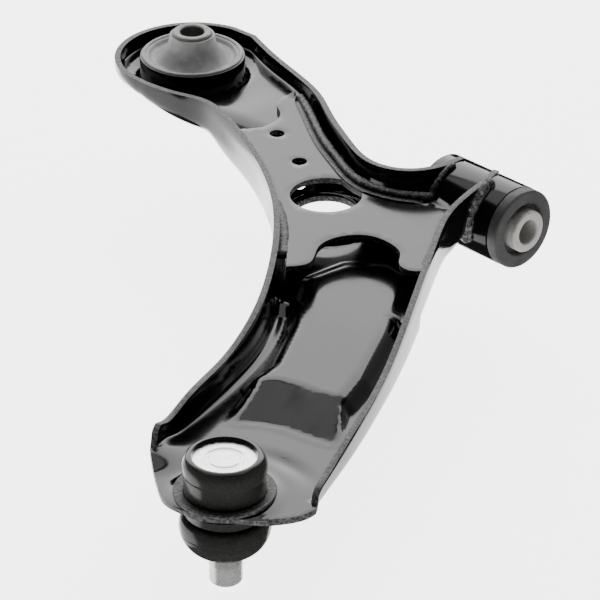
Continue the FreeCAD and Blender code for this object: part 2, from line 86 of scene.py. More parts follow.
# ---------------------------------------------------------------------------------------------
# Materials
# ---------------------------------------------------------------------------------------------
class Shading:
    """A material with a principled shader, and short calls for the nodes round it."""

    def __init__(self, name, metallic=0.0, ior=1.5):
        self.material = bpy.data.materials.new(name)
        self.material.use_nodes = True
        self.nodes = self.material.node_tree.nodes
        self.links = self.material.node_tree.links
        self.shader = self.nodes["Principled BSDF"]
        self.shader.inputs["Metallic"].default_value = metallic
        self.shader.inputs["IOR"].default_value = ior
        self.place = self.nodes.new("ShaderNodeTexCoord").outputs["Object"]

    def noise(self, size_mm, detail=3.0, roughness=0.5):
        """A noise whose features are about size_mm across."""
        node = self.nodes.new("ShaderNodeTexNoise")
        node.inputs["Scale"].default_value = 1 / (size_mm * MM)
        node.inputs["Detail"].default_value = detail
        node.inputs["Roughness"].default_value = roughness
        self.links.new(self.place, node.inputs["Vector"])
        return node.outputs["Fac"]

    def ramp(self, value, stops):
        """Colours along a value: stops are (position, colour)."""
        node = self.nodes.new("ShaderNodeValToRGB")
        elements = node.color_ramp.elements
        while len(elements) < len(stops):
            elements.new(0.5)
        for element, (position, colour) in zip(elements, stops):
            element.position = position
            element.color = (*colour, 1.0)
        self.links.new(value, node.inputs["Fac"])
        return node.outputs["Color"]

    def span(self, value, low, high, start=0.35, end=0.65):
        """Stretches a value onto low to high."""
        node = self.nodes.new("ShaderNodeMapRange")
        node.inputs["From Min"].default_value = start
        node.inputs["From Max"].default_value = end
        node.inputs["To Min"].default_value = low
        node.inputs["To Max"].default_value = high
        self.links.new(value, node.inputs["Value"])
        return node.outputs["Result"]

    def rings(self, centre, pitch_mm, axis):
        """Fine concentric rings round an axis, as turning leaves them."""
        shift = self.nodes.new("ShaderNodeMapping")
        shift.inputs["Location"].default_value = [-value * MM for value in centre]
        self.links.new(self.place, shift.inputs["Vector"])
        wave = self.nodes.new("ShaderNodeTexWave")
        wave.wave_type = "RINGS"
        wave.rings_direction = axis
        wave.inputs["Scale"].default_value = WAVE_PERIOD / (pitch_mm * MM)
        wave.inputs["Distortion"].default_value = 1.2
        wave.inputs["Detail"].default_value = 2.0
        self.links.new(shift.outputs["Vector"], wave.inputs["Vector"])
        return wave.outputs["Fac"]

    def bump(self, value, height_mm, strength=1.0, before=None):
        """Relief of a height, on top of the relief before it."""
        node = self.nodes.new("ShaderNodeBump")
        node.inputs["Distance"].default_value = height_mm * MM
        node.inputs["Strength"].default_value = strength
        self.links.new(value, node.inputs["Height"])
        if before:
            self.links.new(before, node.inputs["Normal"])
        return node.outputs["Normal"]

    def finish(self, colour, roughness, normal=None):
        """Joins the nodes to the shader and gives the material."""
        self.links.new(colour, self.shader.inputs["Base Color"])
        self.links.new(roughness, self.shader.inputs["Roughness"])
        if normal:
            self.links.new(normal, self.shader.inputs["Normal"])
        return self.material


def grey(value):
    """A neutral colour."""
    return (value, value, value)


def black_paint():
    """Gloss electrocoat: smooth, with a faint orange peel and a little dust."""
    s = Shading("black_paint", ior=1.5)
    dust = s.ramp(s.noise(1.1, 4.0, 0.7), [(0.0, grey(0.0015)), (0.66, grey(0.002)),
                                          (0.8, grey(0.016))])
    roughness = s.span(s.noise(24, 3.0), 0.08, 0.17)
    peel = s.bump(s.noise(5.5, 2.0), 0.02, 0.5)
    return s.finish(dust, roughness, s.bump(s.noise(38, 1.0), 0.10, 0.4, peel))


def sheared_steel():
    """The edge of the sheet: torn grain under a thin coat of paint."""
    s = Shading("sheared_steel", ior=1.5)
    grain = s.noise(1.3, 5.0, 0.8)
    colour = s.ramp(grain, [(0.4, grey(0.004)), (0.5, grey(0.035)), (0.66, grey(0.13))])
    return s.finish(colour, s.span(grain, 0.5, 0.32), s.bump(grain, 0.4, 0.8))


def weld_metal():
    """Painted weld metal: blistered, with scale and spatter."""
    s = Shading("weld_metal", ior=1.5)
    scale = s.noise(1.8, 5.0, 0.75)
    colour = s.ramp(scale, [(0.4, grey(0.01)), (0.52, grey(0.06)), (0.66, grey(0.26))])
    return s.finish(colour, s.span(scale, 0.2, 0.5), s.bump(scale, 0.8, 0.8))


def bush_rubber(name, tone):
    """Moulded rubber: matt, with bloom and dust."""
    s = Shading(name, ior=1.45)
    bloom = s.ramp(s.noise(6, 5.0, 0.65), [(0.3, grey(tone * 0.75)), (0.72, grey(tone * 1.2))])
    roughness = s.span(s.noise(2.2, 3.0), 0.4, 0.58)
    return s.finish(bloom, roughness, s.bump(s.noise(0.7, 3.0), 0.07, 0.5))


def sleeve_steel(name, centre, axis, tone):
    """Turned steel of a bush sleeve, dulled by oil."""
    s = Shading(name, metallic=0.55)
    warm = Vector((1, 0.985, 0.94))
    stain = s.ramp(s.noise(1.2, 4.0, 0.6), [(0.3, warm * tone * 0.7), (0.7, warm * tone)])
    roughness = s.span(s.noise(1.4, 4.0), 0.38, 0.55)
    return s.finish(stain, roughness, s.bump(s.rings(centre, 0.5, axis), 0.03, 0.5))


def shell_steel():
    """Phosphated and painted steel, satin."""
    s = Shading("shell_steel", ior=1.5)
    colour = s.ramp(s.noise(4, 4.0, 0.6), [(0.3, grey(0.004)), (0.75, grey(0.009))])
    return s.finish(colour, s.span(s.noise(7, 3.0), 0.1, 0.2), s.bump(s.noise(1.0, 3.0), 0.05, 0.4))


def housing_steel():
    """The ball joint's housing: a forging with a dark satin coat, turned in bands."""
    s = Shading("housing_steel", ior=1.5)
    colour = s.ramp(s.noise(1.6, 4.0, 0.6), [(0.3, (0.012, 0.012, 0.011)), (0.75, (0.017, 0.017, 0.015))])
    turning = s.rings((*BALL_JOINT, 0), 0.9, "Z")
    peel = s.bump(turning, 0.02, 0.2)
    return s.finish(colour, s.span(s.noise(14, 2.0), 0.2, 0.28), s.bump(s.noise(9, 2.0), 0.02, 0.2, peel))


def cap_zinc():
    """Bright zinc on the pressed cap, with faint rings."""
    s = Shading("cap_zinc", metallic=1.0)
    colour = s.ramp(s.noise(5, 4.0), [(0.3, grey(0.84)), (0.7, grey(0.95))])
    roughness = s.span(s.noise(2.4, 4.0), 0.24, 0.4)
    return s.finish(colour, roughness, s.bump(s.rings((*BALL_JOINT, 0), 0.7, "Z"), 0.02, 0.4))


def stud_steel():
    """Ground steel of the stud, lightly oiled."""
    s = Shading("stud_steel", metallic=0.8)
    colour = s.ramp(s.noise(4, 4.0), [(0.3, (0.6, 0.6, 0.58)), (0.7, (0.78, 0.78, 0.76))])
    roughness = s.span(s.noise(1.6, 4.0), 0.24, 0.36)
    return s.finish(colour, roughness, s.bump(s.noise(0.7, 2.0), 0.02, 0.3))


def boot_rubber():
    """Soft black rubber of the boot, shiny with grease, with a fine grain."""
    s = Shading("boot_rubber", ior=1.5)
    colour = s.ramp(s.noise(2.0, 4.0), [(0.3, (0.008, 0.008, 0.0075)), (0.75, (0.016, 0.0155, 0.015))])
    return s.finish(colour, s.span(s.noise(16, 2.0), 0.17, 0.24), s.bump(s.noise(0.9, 3.0), 0.02, 0.2))


def plain_hidden(name, tone, metallic):
    """The finish of a piece that can hardly be seen: a ring or the bearing shell."""
    s = Shading(name, metallic=metallic)
    colour = s.ramp(s.noise(3, 3.0), [(0.3, grey(tone * 0.8)), (0.7, grey(tone))])
    return s.finish(colour, s.span(s.noise(2, 3.0), 0.35, 0.5), s.bump(s.noise(1, 2.0), 0.03, 0.3))


PAINT = black_paint()
SHEARED = sheared_steel()
WELD = weld_metal()
# One rubber in two tones: the rear bush's is made lighter as painted light, and the front bush's darker as
# painted shade.
FRONT_RUBBER_PAINTED_SHADE = bush_rubber("front_rubber", 0.035)
REAR_RUBBER_PAINTED_LIGHT = bush_rubber("rear_rubber", 0.33)
SHELL = shell_steel()
HOUSING = housing_steel()
CAP = cap_zinc()
STUD = stud_steel()
BOOT = boot_rubber()
# The front sleeve's tone is kept low partly as painted shade, to darken its bore, and partly as the steel's
# own dull tone.
FRONT_SLEEVE = sleeve_steel("front_sleeve_steel", (0, 0, 0), "Y", 0.5)
REAR_SLEEVE = sleeve_steel("rear_sleeve_steel", (*REAR_BUSH, 0), "Z", 0.24)


# ---------------------------------------------------------------------------------------------
# Meshes
# ---------------------------------------------------------------------------------------------
def mesh(name, vertices, faces, materials, smooth_angle=35):
    """An object from vertices in millimetres.  Edges sharper than the angle stay sharp."""
    data = bpy.data.meshes.new(name)
    data.from_pydata([Vector(v) * MM for v in vertices], [], faces)
    for material in materials:
        data.materials.append(material)
    work = bmesh.new()
    work.from_mesh(data)
    bmesh.ops.remove_doubles(work, verts=work.verts, dist=JOIN_GAP * MM)
    bmesh.ops.dissolve_degenerate(work, edges=work.edges, dist=LEAST_EDGE * MM)
    bmesh.ops.recalc_face_normals(work, faces=work.faces)
    work.to_mesh(data)
    work.free()
    data.polygons.foreach_set("use_smooth", [True] * len(data.polygons))
    data.set_sharp_from_angle(angle=math.radians(smooth_angle))
    obj = bpy.data.objects.new(name, data)
    bpy.context.scene.collection.objects.link(obj)
    return obj


def dressed(obj, body, slot, *nodes):
    """Puts a piece on its body and hides the parts that it stands for.  The slot argument is not used."""
    if body:
        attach(obj, body)
    if nodes:
        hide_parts(*nodes)
    return obj


def rounded(profile, steps=4):
    """Rounds the corners of a closed profile of (radius, height, reach of the rounding)."""
    points = []
    for index, corner in enumerate(profile):
        here = Vector(corner[:2])
        reach = corner[2] if len(corner) > 2 else 0.0
        before = Vector(profile[index - 1][:2]) - here
        after = Vector(profile[(index + 1) % len(profile)][:2]) - here
        reach = min(reach, before.length * ROUNDING_SHARE, after.length * ROUNDING_SHARE)
        if reach <= 0:
            points.append(here)
            continue
        start = here + before.normalized() * reach
        end = here + after.normalized() * reach
        for step in range(steps + 1):
            t = step / steps
            points.append(start * (1 - t) ** 2 + here * 2 * t * (1 - t) + end * t ** 2)
    return points


def lathe(name, profile, centre, material, along_y=False, turns=128):
    """A closed profile of (radius, height) turned round the vertical, or round +Y."""
    points = rounded(profile)
    vertices = []
    for step in range(turns):
        angle = 2 * math.pi * step / turns
        for radius, height in points:
            side = (radius * math.cos(angle), radius * math.sin(angle))
            if along_y:
                vertices.append((centre[0] + side[0], centre[1] + height, -side[1]))
            else:
                vertices.append((centre[0] + side[0], centre[1] + side[1], height))
    count = len(points)
    faces = []
    for step in range(turns):
        for index in range(count):
            first = step * count + index
            second = step * count + (index + 1) % count
            third = ((step + 1) % turns) * count + (index + 1) % count
            fourth = ((step + 1) % turns) * count + index
            faces.append((first, second, third, fourth))
    return mesh(name, vertices, faces, [material])


# ---------------------------------------------------------------------------------------------
# Front bush
# ---------------------------------------------------------------------------------------------
def build_front_bush():
    """Tube, flanged rubber and inner sleeve, on the horizontal axis."""
    tube = lathe("bush_tube", [(16.8, -26, 0.6), (19.75, -26, 0.8), (19.75, 22, 0.8), (16.8, 22, 0.3)],
                 FRONT_BUSH, PAINT, along_y=True)
    dressed(tube, "arm", "black_paint", "front_bush_tube")
    rubber = lathe("front_rubber", [
        (10.5, -28, 0.2), (14.2, -28, 0.8), (15.2, -26.6, 0.3), (15.2, 22.05, 0.2), (19.6, 22.05, 0.4),
        (19.6, 27.4, 1.6), (18.2, 27.8, 0.8), (13.2, 27.8, 0.8), (12.6, 24.2, 0.6), (10.5, 24.0, 0.1),
    ], FRONT_BUSH, FRONT_RUBBER_PAINTED_SHADE, along_y=True)
    dressed(rubber, "arm", "bush_rubber", "front_bush_rubber")
    sleeve = lathe("front_sleeve", [
        (6.1, -30.4, 0.2), (6.7, -31, 0.2), (9.8, -31, 0.3), (10.4, -30.4, 0.3),
        (10.4, 30.4, 0.3), (9.8, 31, 0.3), (6.7, 31, 0.2), (6.1, 30.4, 0.2),
    ], FRONT_BUSH, FRONT_SLEEVE, along_y=True)
    dressed(sleeve, "front_sleeve", "sleeve_steel", "front_bush_inner_sleeve")


# ---------------------------------------------------------------------------------------------
# Rear bush
# ---------------------------------------------------------------------------------------------
def build_rear_bush():
    """Shell, rubber and inner sleeve, on the vertical axis."""
    shell = lathe("rear_shell", [(25, -6, 0.4), (27, -6, 0.6), (27, 12.8, 0.8), (25, 12.8, 0.6)],
                  REAR_BUSH, SHELL)
    dressed(shell, "arm", "shell_steel", "rear_bush_outer_sleeve")
    rubber = lathe("rear_rubber", [
        (10.3, -15, 0.1), (12.25, -15, 1), (17.25, -5, 2.5), (22, -4.5, 1), (25, -4.5, 0.1),
        (25, 11.8, 0.2), (26.2, 12.9, 0.3), (25.6, 13.8, 0.5), (24.2, 13.7, 0.3), (23.8, 13.0, 0.3),
        (23.0, 13.0, 0.3), (22.4, 12.6, 0.6), (21.2, 11.0, 1.0), (19.4, 11.2, 1.0),
        (16.2, 13.6, 2.6), (12.8, 17.5, 1.8), (11.8, 21.6, 1.0), (11.4, 24.4, 0.5), (10.3, 24.4, 0.2),
    ], REAR_BUSH, REAR_RUBBER_PAINTED_LIGHT)
    dressed(rubber, None, "bush_rubber", "rear_bush_rubber")
    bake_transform(rubber)
    sleeve = lathe("rear_sleeve", [
        (6.1, -18.4, 0.2), (6.7, -19, 0.2), (9.7, -19, 0.3), (10.25, -18.4, 0.3),
        (10.25, 25.2, 0.5), (9.4, 26, 0.6), (7.1, 26, 0.5), (6.1, 25.2, 0.4),
    ], REAR_BUSH, REAR_SLEEVE)
    dressed(sleeve, "rear_sleeve", "sleeve_steel", "rear_bush_inner_sleeve")


# ---------------------------------------------------------------------------------------------
# Ball joint
# ---------------------------------------------------------------------------------------------
def build_ball_joint():
    """Housing, cap and stud."""
    housing = lathe("joint_housing", [
        (13.9, -24, 0.3), (15.6, -24, 0.3), (15.6, -21.2, 0.3), (17.8, -20.6, 0.3),
        (17.8, -1.2, 0.3), (18.4, 0.0, 0.8), (18.4, 4.0, 3.0), (16.9, 6.6, 1.0), (15.6, 7.4, 0.5),
        (14.3, 7.4, 0.4), (13.9, 5.6, 0.1), (14.9, 5.4, 0.1), (14.9, -14.6, 1), (11.6, -18.8, 0.3),
    ], BALL_JOINT, HOUSING)
    dressed(housing, "arm", "housing_steel", "ball_joint_housing")
    cap = lathe("joint_cap", [
        (0, 2.8), (14.8, 2.8, 0.1), (14.8, 5.2, 0.2), (13.8, 5.4, 0.3), (9.0, 5.4, 0.5),
        (8.2, 4.9, 0.5), (7.2, 4.9, 0.4), (6.6, 5.3, 0.5), (0, 5.4),
    ], BALL_JOINT, CAP)
    dressed(cap, "arm", "cap_zinc", "ball_joint_cap")
    stud = lathe("stud_shank", stud_profile(), BALL_JOINT, STUD)
    dressed(stud, "stud", "stud_steel", "ball_stud")


def stud_profile():
    """Ball, neck and clamping length of the stud."""
    ball_height, ball_radius, neck = -10.6, 12.5, 6.3
    top_angle, steps = 0.2, 12
    profile = [(0, -56.7), (5.9, -56.7, 0.8), (7.5, -55.1, 0.8), (7.5, -46.5, 0.5),
               (6.9, -44.4, 0.9), (neck, -42.5, 0.6)]
    start = math.asin(neck / ball_radius)
    for step in range(steps + 1):
        angle = start + (math.pi - start - top_angle) * step / steps
        profile.append((ball_radius * math.sin(angle), ball_height - ball_radius * math.cos(angle)))
    profile.append((0, ball_height + ball_radius * math.cos(top_angle)))
    return profile


def build_dust_boot():
    """The boot in two bands that meet at its crease."""
    upper = lathe("boot_upper", [
        (16.0, -24.6, 0.2), (16.0, -21.6, 0.3), (18.9, -21.7, 1.6), (20.1, -24.5, 1.6), (20.3, -28, 0.5),
        (19.9, -28.9, 0.1), (18.3, -28.9, 0.1), (18.5, -27.6, 0.4), (17.5, -24.6, 0.6),
    ], BALL_JOINT, BOOT)
    dressed(upper, None, "boot_rubber", "dust_boot")
    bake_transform(upper)
    lower = lathe("boot_lower", [
        (18.4, -28.5, 0.1), (19.6, -28.6, 0.4), (19.9, -29.4, 0.4), (19.5, -31.5, 1.2), (17.5, -35.6, 2.2),
        (13.6, -39.2, 2.0), (9.3, -41.5, 0.8), (7.45, -41.6, 0.3), (7.45, -38.2, 0.4),
        (12.0, -36.8, 1.6), (16.0, -34.0, 1.6), (17.9, -30.8, 0.8),
    ], BALL_JOINT, BOOT)
    dressed(lower, None, "boot_rubber", "dust_boot")
    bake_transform(lower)


# ---------------------------------------------------------------------------------------------
# Pressings: a wall of varying height round a floor, in one skin that is then given its thickness
# ---------------------------------------------------------------------------------------------
def smooth_run(points, spacing=3.0):
    """Evenly spaced points on the natural cubic spline through a few points of any dimension."""
    given = np.array(points, float)
    steps = np.linalg.norm(np.diff(given[:, :2], axis=0), axis=1)
    along = np.concatenate([[0], np.cumsum(steps)])
    count = len(given)
    system = np.eye(count)
    right = np.zeros_like(given)
    for i in range(1, count - 1):
        system[i, i - 1] = steps[i - 1]
        system[i, i] = 2 * (steps[i - 1] + steps[i])
        system[i, i + 1] = steps[i]
        slopes = (given[i + 1] - given[i]) / steps[i] - (given[i] - given[i - 1]) / steps[i - 1]
        right[i] = 6 * slopes
    bend = np.linalg.solve(system, right)
    run = []
    for at in np.linspace(0, along[-1], max(2, round(along[-1] / spacing) + 1)):
        i = min(np.searchsorted(along, at, side="right") - 1, count - 2)
        a, b, h = along[i + 1] - at, at - along[i], steps[i]
        value = (bend[i] * a ** 3 + bend[i + 1] * b ** 3) / (6 * h)
        value += (given[i] / h - bend[i] * h / 6) * a + (given[i + 1] / h - bend[i + 1] * h / 6) * b
        run.append(value)
    return np.array(run)


def inward(loop):
    """Unit vectors square to a clockwise closed loop in plan, towards its inside."""
    along = np.roll(loop, -1, axis=0) - np.roll(loop, 1, axis=0)
    along /= np.linalg.norm(along, axis=1)[:, None]
    return np.stack([along[:, 1], -along[:, 0]], axis=1)


def inside_loop(points, loop):
    """Which points lie inside a closed loop in plan."""
    x, y = points[:, 0], points[:, 1]
    inside = np.zeros(len(points), bool)
    for (x0, y0), (x1, y1) in zip(loop, np.roll(loop, -1, axis=0)):
        crosses = (y0 > y) != (y1 > y)
        with np.errstate(divide="ignore", invalid="ignore"):
            left = x < (x1 - x0) * (y - y0) / (y1 - y0) + x0
        inside ^= crosses & left
    return inside


def distance_to(points, loop, closed=True):
    """Distance in plan from points to a chain of straight edges."""
    ends = np.roll(loop, -1, axis=0) if closed else loop[1:]
    starts = loop if closed else loop[:-1]
    nearest = np.full(len(points), 1e9)
    for start, end in zip(starts, ends):
        edge = end - start
        length = max(float(edge @ edge), 1e-12)
        t = np.clip(((points - start) @ edge) / length, 0, 1)
        gap = np.linalg.norm(points - start - t[:, None] * edge, axis=1)
        nearest = np.minimum(nearest, gap)
    return nearest


def circle_points(centre, radius, spacing=2.0):
    """Evenly spaced points round a circle in plan."""
    count = max(24, round(2 * math.pi * radius / spacing))
    turn = 2 * np.pi * np.arange(count) / count
    return np.stack([centre[0] + radius * np.cos(turn), centre[1] + radius * np.sin(turn)], axis=1)


# Rim height that leaves an edge flat, and the lowest wall that is drawn.
NO_WALL = -40.0
LEAST_WALL = 0.3
WALL_ROWS = 3
BEND_ROWS = 6
# Edges folded by more than this many degrees are broken, by this width.
EDGE_ANGLE = 55
EDGE_BREAK = 0.35
# Edges folded by more than this many degrees are shaded as sharp.
FOLD_ANGLE = 48


def flat_edge(points, spacing=3.0):
    """A smooth run of stations with no wall."""
    run = smooth_run(points, spacing)
    return np.column_stack([run, np.full(len(run), NO_WALL)])


def pressing(name, sides, floor_height, bend_radius, holes, thickness, hidden=None, grid=2.2):
    """A sheet pressing.  sides are runs of (x, y, rim height), clockwise in plan; a rim that is no
    higher than the floor leaves a flat edge.  Walls join the stations of one run only."""
    stations = np.concatenate(sides)
    owner = np.concatenate([[number] * len(side) for number, side in enumerate(sides)])
    plan = stations[:, :2]
    normal = inward(plan)
    base = floor_height(plan)
    height = np.maximum(stations[:, 2] - base, 0)
    radius = np.minimum(bend_radius(plan), height)
    rows = []
    for row in range(WALL_ROWS):
        top = base + height + (radius - height) * row / WALL_ROWS
        rows.append(np.column_stack([plan, top]))
    for row in range(BEND_ROWS + 1):
        angle = math.pi / 2 * row / BEND_ROWS
        inset = radius * (1 - math.cos(angle))
        level = base + radius * (1 - math.sin(angle))
        rows.append(np.column_stack([plan + normal * inset[:, None], level]))
    foot = rows[-1][:, :2]
    rows[-1][:, 2] = floor_height(foot)
    count = len(plan)
    vertices = [tuple(point) for row in rows for point in row]
    faces = []
    for row in range(len(rows) - 1):
        for index in range(count):
            after = (index + 1) % count
            walled = max(height[index], height[after]) > LEAST_WALL
            if walled and owner[index] == owner[after]:
                faces.append((row * count + index, row * count + after,
                              (row + 1) * count + after, (row + 1) * count + index))
    floor_vertices, floor_faces = floor_mesh(foot, holes, floor_height, grid)
    offset = (len(rows) - 1) * count
    vertices = vertices[:offset] + floor_vertices
    faces += [tuple(offset + index for index in face) for face in floor_faces]
    if hidden:
        out_of_sight = hidden(np.array(vertices))
        faces = [face for face in faces if not all(out_of_sight[index] for index in face)]
    used = sorted({index for face in faces for index in face})
    place = {index: number for number, index in enumerate(used)}
    vertices = [vertices[index] for index in used]
    faces = [tuple(place[index] for index in face) for face in faces]
    obj = mesh(name, vertices, faces, [PAINT, SHEARED], smooth_angle=FOLD_ANGLE)
    turn_floor_down(obj)
    skin = obj.modifiers.new("thickness", "SOLIDIFY")
    skin.thickness = thickness * MM
    skin.offset = -1
    skin.use_even_offset = True
    skin.material_offset_rim = 1
    edge = obj.modifiers.new("broken_edges", "BEVEL")
    edge.width = EDGE_BREAK * MM
    edge.segments = 2
    edge.limit_method = "ANGLE"
    edge.angle_limit = math.radians(EDGE_ANGLE)
    return obj


def turn_floor_down(obj):
    """The skin is the underside of the sheet, so its floor must face down."""
    floor_face = max(obj.data.polygons, key=lambda face: abs(face.normal.z) * face.area)
    if floor_face.normal.z > 0:
        obj.data.flip_normals()


# Shares of a triangular grid's pitch: between its rows, and from an edge to its nearest points.
ROW_SHARE = 0.87
EDGE_CLEAR = 0.45


def floor_mesh(boundary, holes, floor_height, grid):
    """Triangles over a floor: its boundary first, then the holes' edges, then a grid."""
    loops = [boundary] + [circle_points(centre, radius) for centre, radius in holes]
    edges, points = [], []
    for loop in loops:
        first = len(points)
        points += [Vector(point) for point in loop]
        edges += [(first + i, first + (i + 1) % len(loop)) for i in range(len(loop))]
    low, high = boundary.min(axis=0), boundary.max(axis=0)
    across, up = np.arange(low[0], high[0], grid), np.arange(low[1], high[1], grid * ROW_SHARE)
    x, y = np.meshgrid(across, up)
    x = x + (np.arange(len(up))[:, None] % 2) * grid / 2
    cells = np.column_stack([x.ravel(), y.ravel()])
    keep = inside_loop(cells, boundary) & (distance_to(cells, boundary) > grid * EDGE_CLEAR)
    for centre, radius in holes:
        keep &= np.linalg.norm(cells - centre, axis=1) > radius + grid * EDGE_CLEAR
    points += [Vector(point) for point in cells[keep]]
    found, _, triangles, _, _, _ = delaunay_2d_cdt(points, edges, [], 0, 1e-6)
    flat = np.array([tuple(point) for point in found])
    middle = np.array([flat[list(face)].mean(axis=0) for face in triangles])
    keep = inside_loop(middle, boundary)
    for centre, radius in holes:
        keep &= np.linalg.norm(middle - centre, axis=1) > radius * 0.995
    heights = floor_height(flat)
    vertices = [(p[0], p[1], h) for p, h in zip(flat, heights)]
    return vertices, [tuple(face) for face, kept in zip(triangles, keep) if kept]


def smooth_step(value):
    """0 to 1 with level ends."""
    value = np.clip(value, 0, 1)
    return value * value * (3 - 2 * value)


def eased(value, knots, reach):
    """A chain of straight slopes with its corners rounded over reach."""
    x, y = np.array(knots).T
    shifts = np.linspace(-reach, reach, 9)
    return sum(np.interp(value + shift, x, y) for shift in shifts) / len(shifts)


# ---------------------------------------------------------------------------------------------
# The pan
# ---------------------------------------------------------------------------------------------
# Rim of the pan, outside face: (x, y, height).
PAN_LEFT = [(249.4, 37, -11.5), (248.9, 36.6, -9.5), (248.2, 36.2, -6.8), (246.8, 35.7, -3.4),
            (240, 32.9, -2.6), (222, 27.6, -1), (188, 17, 1.5), (159, 5.5, 7),
            (126, -16.5, 12), (92, -48.5, 15.6),
            (63, -90, 16), (48, -121, 16), (39, -145, 15.8), (35.5, -160, 14.2), (38, -177, 12.8),
            (40, -197, 12)]
PAN_REAR = [(-39.6, -197.6, 12), (-31.5, -176, 12.3), (-22, -145, 13), (-12, -122, 15),
            (3, -98, 17), (18, -70, 18), (24.8, -53, 18.2), (25.5, -40, 18.8), (20, -28, 19.5),
            (11.5, -21.8, 20), (4, -20, 20.1), (-5, -19.4, 20.1)]
PAN_FRONT = [(-7.5, 4.2, 20.1), (2, 7, 20.1), (21, 11, 19.6), (37, 14.8, 17.5), (50, 21.5, 16),
             (74, 37, 14), (100, 53.5, 10.8), (147, 81, 2), (192, 102.5, -2.8),
             (218, 113.6, -7.2), (222.5, 115.6, -8.5), (225.2, 117, -12),
             (226.6, 118, -16)]
PAN_TIP = [(228.4, 119), (233.5, 119.2), (246.3, 113.7), (260.5, 101.6), (268.9, 90.7), (270.7, 78.9),
           (269.6, 68), (264, 57.7), (255.7, 45.4), (250.6, 38.4)]
WALL_END = (248.5, 35.5)
CUP_RADIUS = 39.9
CUP_RIM = 12.0
# Where the left wall runs into the cup, from the rear bush's axis.
CUP_START = (40, 6.2)

FLAT = -16.2
# Heights of the underside along the run, and how far its corners are rounded.
UNDERSIDE = [(-60, 2.2), (36, 2.2), (43, -2), (58, -8.5), (120, -9), (160, -11.6), (208, -15.4),
             (250, FLAT), (400, FLAT)]
UNDERSIDE_EASE = 5
PLATEAU_CREST = [(177, 33.5), (172, 39), (168, 48), (166.5, 59), (163.5, 67)]
PLATEAU = [(99, -12), (133, 13), (163, 31)] + PLATEAU_CREST + [(146, 60), (112, 42), (87, 25),
                                                               (72, 13), (71, 2), (80, -9)]
PLATEAU_TOP = [(0, -6.6), (150, -6.8), (215, -7.4), (262, -8.4), (400, -10)]
PLATEAU_EASE = 6
PLATEAU_EDGE = 9.0
SLOPE_FOOT = [(204, 44), (196.5, 52.5), (192, 63), (189.5, 76), (187, 86)]
SLOPE_TOP = -8.3
SLOPE_SIDE = 5
BIG_HOLE = (52.9, -52.5)
SMALL_HOLES = [(24.7, -115.4), (37.7, -86.3)]
BOSS_RADIUS = 22.0
BOSS_FLANK = 8
BOSS_TOP = -3.5
PAN_HOLES = [(REAR_BUSH, 27.9), (BALL_JOINT, 18.8), (BIG_HOLE, 15.0)]
SMALL_HOLE_RADIUS = 3.8
# Bend radius between floor and wall along the run.
PAN_BEND = [(0, 4), (30, 9), (70, 6), (140, 8), (270, 8), (315, 4.5), (340, 3.5)]
# The drawn collar round the rear bush: where its bend starts, and the bend's radius.
REAR_COLLAR_START = 34
REAR_COLLAR_BEND = 7
# The dish round the rear bush: the radius of its level middle, its flank and its depth.
DISH_RADIUS = 34
DISH_FLANK = 30
DISH_DEPTH = 1.2
# The rise into the collar round the ball joint: where it starts, its reach and its height.
ROOT_START = 28.5
ROOT_REACH = 8
ROOT_RISE = 1.8
# The crescent beside the ball joint: depth, middle and half length in degrees, and its two flanks.
GROOVE_DEPTH = 1.3
GROOVE_MIDDLE = 178.0
GROOVE_HALF_LENGTH = 42.0
GROOVE_OUTSIDE = 44
GROOVE_OUTER_FLANK = 6
GROOVE_BOTTOM = 38
GROOVE_INNER_FLANK = 9
# The rise of the flat at the end of the left wall, and its reach.
FOOT_RISE = 4.0
FOOT_REACH = 22
# The inside of the front bush tube, where the pan's ears are out of sight.
TUBE_INSIDE = 18.6
TUBE_ENDS = (-26, 22)
# Faces of the joint collar above this height, and not facing down, are sheared metal.
COLLAR_SHEARED = -13.2
COLLAR_FACING = -0.3
# The drop from the rear bush's shelf is set back by this much for each millimetre aside of the
# run, past the first of these distances aside and up to the second distance along the run.
DROP_SKEW = 0.45
DROP_SQUARE = 15
DROP_END = 200


def along_run(plan):
    """Distance from the rear bush along the way that the pan deepens."""
    return plan[:, 0] * RUN[0] + (plan[:, 1] - REAR_BUSH[1]) * RUN[1]


def pan_floor(plan):
    """Height of the pan's underside, with all that is pressed into it."""
    run = along_run(plan)
    aside = (plan[:, 1] - REAR_BUSH[1]) * RUN[0] - plan[:, 0] * RUN[1]
    set_back = DROP_SKEW * np.maximum(aside - DROP_SQUARE, 0) * (run < DROP_END)
    level = eased(run - set_back, UNDERSIDE, UNDERSIDE_EASE)
    plateau = np.array(PLATEAU, float)
    gap = distance_to(plan, plateau)
    gap[inside_loop(plan, plateau)] = 0
    top = eased(run, PLATEAU_TOP, PLATEAU_EASE)
    share = 1 - smooth_step(gap / PLATEAU_EDGE)
    level = level + np.maximum(top - level, 0) * share
    level = with_slope(level, plan)
    boss = np.linalg.norm(plan - BIG_HOLE, axis=1)
    share = 1 - smooth_step((boss - BOSS_RADIUS + BOSS_FLANK / 2) / BOSS_FLANK)
    level = level + np.maximum(BOSS_TOP - level, 0) * share
    level += joint_groove(plan) + joint_root(plan) + foot_of_the_wall(plan)
    return level - dished(plan, REAR_BUSH, REAR_COLLAR_START, REAR_COLLAR_BEND) - rear_dish(plan)


def dished(plan, centre, start, radius):
    """How far a drawn collar's bend has left the floor, from its start inwards."""
    into = np.clip(start - np.linalg.norm(plan - np.array(centre), axis=1), 0, radius * 0.95)
    return radius - np.sqrt(radius ** 2 - into ** 2)


def joint_root(plan):
    """The floor curves up into the collar round the ball joint."""
    away = np.linalg.norm(plan - np.array(BALL_JOINT), axis=1)
    into = np.clip(ROOT_START - away, 0, ROOT_REACH)
    return ROOT_RISE * (into / ROOT_REACH) ** 2


def rear_dish(plan):
    """The floor sinks a little towards the rear bush."""
    away = np.linalg.norm(plan - np.array(REAR_BUSH), axis=1)
    return DISH_DEPTH * (1 - smooth_step((away - DISH_RADIUS) / DISH_FLANK))


